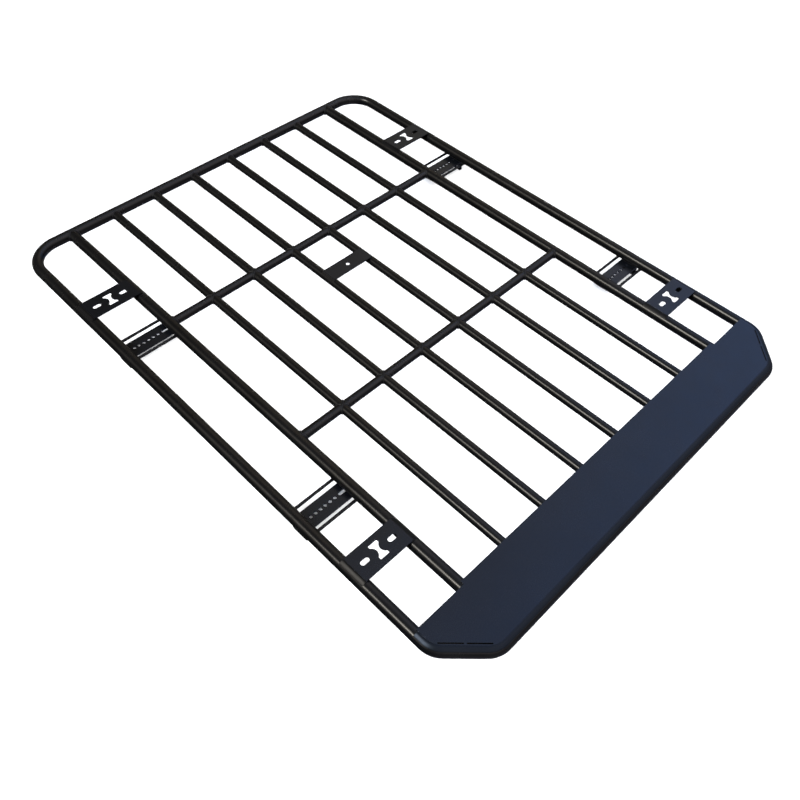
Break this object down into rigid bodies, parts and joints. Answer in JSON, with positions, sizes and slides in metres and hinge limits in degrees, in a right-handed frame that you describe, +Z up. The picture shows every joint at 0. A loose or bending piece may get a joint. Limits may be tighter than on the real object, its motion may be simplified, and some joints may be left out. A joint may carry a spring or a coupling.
{
  "type": "flat platform roof rack",
  "caption": "Flat welded platform roof rack of round black tube: lengthwise deck bars, cross tubes, a front deck plate, slotted corner plates and foot brackets.",
  "frame": {"origin": "on the floor under the middle of the rack", "axes": "+X to the rack's right, +Y to its rear, +Z up"},
  "size_m": [1.32, 1.758, 0.0734],
  "materials": {
    "powder_coat": "satin black powder coat"
  },
  "bodies": {
    "root": {"centre_plate": "powder_coat", "corner_plate_front_left": "powder_coat", "corner_plate_front_right": "powder_coat", "corner_plate_rear_left": "powder_coat", "corner_plate_rear_right": "powder_coat", "deck_bar_1_front": "powder_coat", "deck_bar_1_middle": "powder_coat", "deck_bar_1_rear": "powder_coat", "deck_bar_2_front": "powder_coat", "deck_bar_2_middle": "powder_coat", "deck_bar_2_rear": "powder_coat", "deck_bar_3_front": "powder_coat", "deck_bar_3_middle": "powder_coat", "deck_bar_3_rear": "powder_coat", "deck_bar_4_front": "powder_coat", "deck_bar_4_middle": "powder_coat", "deck_bar_4_rear": "powder_coat", "deck_bar_5_front": "powder_coat", "deck_bar_5_middle": "powder_coat", "deck_bar_5_rear": "powder_coat", "deck_bar_6_front": "powder_coat", "deck_bar_6_middle": "powder_coat", "deck_bar_6_rear": "powder_coat", "foot_bracket_front_left": "powder_coat", "foot_bracket_front_right": "powder_coat", "foot_bracket_rear_left": "powder_coat", "foot_bracket_rear_right": "powder_coat", "front_cross_tube": "powder_coat", "front_deck_plate": "powder_coat", "front_hoop": "powder_coat", "left_inner_rail": "powder_coat", "left_side_rail": "powder_coat", "rear_cross_tube": "powder_coat", "rear_hoop": "powder_coat", "right_inner_rail": "powder_coat", "right_side_rail": "powder_coat", "tie_rod_front_left_ahead": "powder_coat", "tie_rod_front_left_behind": "powder_coat", "tie_rod_front_right_ahead": "powder_coat", "tie_rod_front_right_behind": "powder_coat", "tie_rod_rear_left_ahead": "powder_coat", "tie_rod_rear_left_behind": "powder_coat", "tie_rod_rear_right_ahead": "powder_coat", "tie_rod_rear_right_behind": "powder_coat"}
  },
  "joints": []
}
